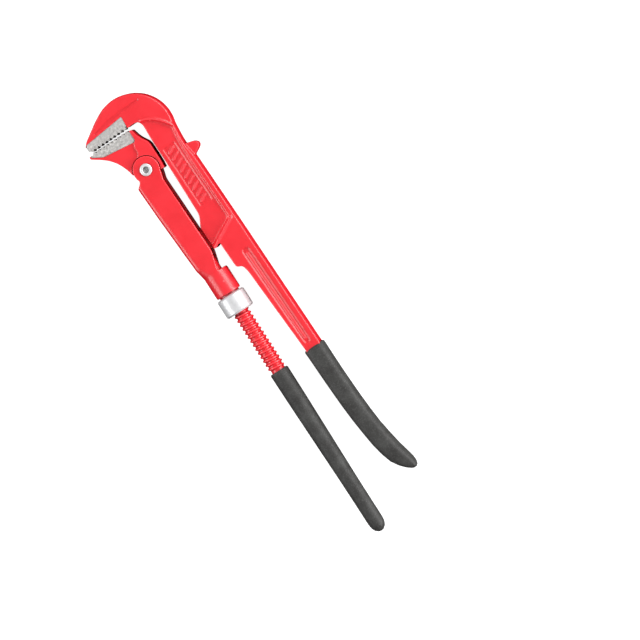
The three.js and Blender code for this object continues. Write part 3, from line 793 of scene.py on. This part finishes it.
# %% The nut's body and its knurl
NUT_R = 9.6
NUT_TOP = -36.6
NUT_END = -49.3
NUT_BORE_END = -43.4
NUT_BORE_R = 7.2
THREAD_BORE_R = 5.75
KNURL_ROUND = 108
KNURL_ROWS = 20
KNURL_DEPTH = 0.16
KNURL_MARGIN = 1.2
BARREL_LENGTH = NUT_TOP - NUT_END - 2 * KNURL_MARGIN
barrel = [(NUT_R, NUT_END + KNURL_MARGIN + BARREL_LENGTH * row / KNURL_ROWS)
          for row in range(KNURL_ROWS + 1)]
nut_bm = turned([
    (THREAD_BORE_R, NUT_END + 0.5), (THREAD_BORE_R + 0.6, NUT_END, 0.15), (NUT_R - 1.0, NUT_END, 0.3),
    (NUT_R, NUT_END + 1.0), *barrel, (NUT_R, NUT_TOP - 1.0), (NUT_R - 1.0, NUT_TOP, 0.3),
    (NUT_BORE_R, NUT_TOP, 0.2), (NUT_BORE_R, RING_Y + RING_GROOVE_HALF), (NUT_BORE_R + 0.7, RING_Y + 0.7),
    (NUT_BORE_R + 0.7, RING_Y - 0.7), (NUT_BORE_R, RING_Y - RING_GROOVE_HALF), (NUT_BORE_R, NUT_BORE_END),
    (THREAD_BORE_R, NUT_BORE_END)], KNURL_ROUND, closed=True)
pressed = []
for vert in nut_bm.verts:
    row = round((vert.co.y - barrel[0][1]) / (barrel[1][1] - barrel[0][1]))
    column = round(math.atan2(vert.co.z, vert.co.x) / (2 * math.pi) * KNURL_ROUND)
    on_barrel = abs(math.hypot(vert.co.x, vert.co.z) - NUT_R) < 1e-3 and 0 < row < KNURL_ROWS
    if on_barrel and (row + column) % 2:
        pressed.append(vert)
inward = 1 - KNURL_DEPTH / NUT_R
bmesh.ops.scale(nut_bm, vec=(inward, 1, inward), verts=pressed)
print("knurl points", len(pressed))
nut = piece("adjusting_nut_knurled", on_rod(nut_bm))
finish(nut, "nut", "zinc", ZINC, "adjusting_nut")

# %% [markdown]
# ## The grips
# Both handles end in a dipped grip. The long leg's grip follows its flat forging and sweeps out at its
# end. It is made as a lofted skin: a rounded section is placed at several stations along the leg, and
# Bridge joins each to the next. The short leg's grip is round, so it is turned.

# %% The long leg's grip, each station a place along the leg, its left, its right, its half thickness
LEG_GRIP_STATIONS = (
    (-151.0, 17.9, 30.4, 5.7), (-151.25, 17.35, 30.95, 6.6), (-152.2, 17.05, 31.2, 7.4),
    (-155.0, 17.15, 31.1, 7.8), (-162.0, 17.2, 30.9, 7.9), (-172.0, 17.2, 30.75, 7.9),
    (-182.0, 17.3, 30.75, 7.9), (-193.0, 17.5, 30.85, 7.9), (-204.0, 18.0, 31.2, 7.9),
    (-214.0, 18.8, 31.8, 7.9), (-224.0, 19.8, 33.1, 7.9), (-232.0, 21.3, 34.4, 7.8),
    (-238.5, 23.2, 35.8, 7.6), (-243.5, 26.2, 36.8, 7.1), (-247.0, 29.2, 36.9, 6.3),
    (-249.2, 31.8, 36.2, 4.8), (-250.1, 33.2, 35.2, 2.6))
SECTION_POINTS = 40
SECTION_SQUARENESS = 0.62


def section(bm, y, left, right, half):
    """A rounded rectangle at one station: a circle pushed out towards its corners."""
    made = bmesh.ops.create_circle(bm, segments=SECTION_POINTS, radius=1.0)["verts"]
    for vert in made:
        across_leg, through_leg = (
            math.copysign(abs(part) ** SECTION_SQUARENESS, part) for part in (vert.co.x, vert.co.y))
        vert.co = ((left + right) / 2 + across_leg * (right - left) / 2, y, through_leg * half)
    return [e for e in bm.edges if e.verts[0] in made and e.verts[1] in made]


def lofted(stations):
    """Bridges the sections and closes both ends."""
    bm = bmesh.new()
    rings = [section(bm, *station) for station in stations]
    for ring, following in zip(rings, rings[1:]):
        bmesh.ops.bridge_loops(bm, edges=ring + following)
    for ring in (rings[0], rings[-1]):
        bmesh.ops.contextual_create(bm, geom=ring)
    bmesh.ops.recalc_face_normals(bm, faces=bm.faces[:])
    return bm


leg_grip = piece("hook_leg_dipped_grip", lofted(LEG_GRIP_STATIONS))
finish(leg_grip, "hook_leg", "black_grip", GRIP, "hook_leg_grip")

# %% The short leg's grip
ROD_GRIP_END = -213.7
rod_grip = piece("threaded_leg_dipped_grip", on_rod(turned([
    (0, ROD_GRIP_END), (1.8, ROD_GRIP_END + 0.4), (3.6, ROD_GRIP_END + 1.9), (4.8, ROD_GRIP_END + 4.2, 1),
    (5.2, ROD_GRIP_END + 7.4, 1), (5.25, -180, 5), (6.2, -112, 5), (6.3, ROD_GRIP_TOP - 2),
    (6.35, ROD_GRIP_TOP - 0.9, 0.4), (5.9, ROD_GRIP_TOP + 0.05, 0.3), (4.75, ROD_GRIP_TOP + 0.05),
    (4.75, ROD_GRIP_TOP - 3), (0, ROD_GRIP_TOP - 3)])))
finish(rod_grip, "threaded_leg", "black_grip", GRIP, "threaded_leg_grip")

# %% [markdown]
# ## Pin and ring
# The fulcrum pin and the snap ring in the nut are hidden inside the tool. Their CAD shapes are right, so
# they stay and only get the steel finish.

# %% Steel on the two hidden pieces
for node in ("fulcrum_pin", "nut_ring"):
    kept = frame["nodes"][node]
    kept.data.materials.clear()
    kept.data.materials.append(STEEL)
    print(node, "keeps its CAD shape")

# %% [markdown]
# ## Stage
# A plain white floor, a soft sky and three softboxes. The two high ones, one on each side, leave the two
# soft bands that show the shape of the round collar, while the flat faces stay evenly red. The low one
# lifts the side walls that turn towards the handles. The floor is a light table: it glows, so shadows on
# it stay pale, but it throws no light back, so the narrow gaps stay deep.

# %% Floor
floor_mesh = bpy.data.meshes.new("floor")
floor_bm = bmesh.new()
FLOOR_HALF = 12.0  # metres
bmesh.ops.create_grid(floor_bm, x_segments=1, y_segments=1, size=FLOOR_HALF)
floor_bm.to_mesh(floor_mesh)
floor_bm.free()
floor = bpy.data.objects.new("floor", floor_mesh)
bpy.context.scene.collection.objects.link(floor)
floor.data.transform(Matrix.Translation((0, 0, cad_box[0].z)))
GLOW = 0.97
white = Finish("floor_white", Roughness=0.9, Specular_IOR_Level=0.0, Emission_Strength=GLOW,
               Emission_Color=(1, 1, 1, 1))
grain = white.ramp(white.noise(60.0), (0.3, 0.33), (0.7, 0.35))
floor.data.materials.append(white.done(grain))
floor.visible_diffuse = False
floor.visible_glossy = False

# %% Sky and softboxes
world = bpy.data.worlds.new("studio")
bpy.context.scene.world = world
world.use_nodes = True
SKY = 0.40  # brightness above the horizon; there is none below it
tree = world.node_tree
height = tree.nodes.new("ShaderNodeSeparateXYZ")
tree.links.new(tree.nodes.new("ShaderNodeTexCoord").outputs["Generated"], height.inputs["Vector"])
above = tree.nodes.new("ShaderNodeMapRange")
above.inputs["From Min"].default_value = -0.05
above.inputs["From Max"].default_value = 0.15
above.inputs["To Max"].default_value = SKY
tree.links.new(height.outputs["Z"], above.inputs["Value"])
tree.links.new(above.outputs["Result"], tree.nodes["Background"].inputs["Strength"])
tree.nodes["Background"].inputs["Color"].default_value = (1, 1, 1, 1)


def softbox(name, towards, distance, width, length, watts):
    """An area light that looks at the wrench from one side, its long side along the legs."""
    data = bpy.data.lights.new(name, "AREA")
    data.shape = "RECTANGLE"
    data.size = width
    data.size_y = length
    data.energy = watts
    light = bpy.data.objects.new(name, data)
    direction = Vector(towards).normalized()
    side = Vector((0, 1, 0)).cross(direction).normalized()
    along = direction.cross(side)
    light.matrix_world = Matrix.Translation(direction * distance) @ Matrix(
        (side, along, direction)).transposed().to_4x4()
    bpy.context.scene.collection.objects.link(light)
    return light


AWAY = 1.1
softbox("softbox_right", (0.82, 0.25, 0.55), AWAY, 0.6, 1.2, 13)
softbox("softbox_left", (-0.80, 0.35, 0.50), AWAY, 0.7, 1.2, 12)
softbox("softbox_low", (0.80, -0.55, 0.22), AWAY, 0.5, 0.9, 18)
bpy.context.scene.view_settings.view_transform = "Standard"

# %% [markdown]
# ## Camera
# The wrench is seen almost square on, from about 9 degrees towards the long leg, and turned in the frame so
# that the head is at the upper left and the handles run down to the right.

# %% Camera
TILT = math.radians(8.6)
AIM = Vector((0.03097, -0.0282, 0.0096))
CAMERA_DISTANCE = 3.2
SENSOR_MM = 36
FIELD = 0.4032  # width of the picture where the wrench is, in metres
RIGHT_ALONG_LEG = -0.563
RIGHT_ACROSS_LEG = 0.8265
out = Vector((math.sin(TILT), 0, math.cos(TILT)))
across_leg = Vector((math.cos(TILT), 0, -math.sin(TILT)))
along_leg = Vector((0, 1, 0))
image_right = (RIGHT_ALONG_LEG * along_leg + RIGHT_ACROSS_LEG * across_leg).normalized()
image_up = out.cross(image_right)
camera_data = bpy.data.cameras.new("camera")
camera_data.sensor_width = SENSOR_MM
camera_data.lens = SENSOR_MM * CAMERA_DISTANCE / FIELD
camera = bpy.data.objects.new("camera", camera_data)
camera.matrix_world = Matrix.Translation(AIM + out * CAMERA_DISTANCE) @ Matrix(
    (image_right, image_up, out)).transposed().to_4x4()
bpy.context.scene.collection.objects.link(camera)
bpy.context.scene.camera = camera
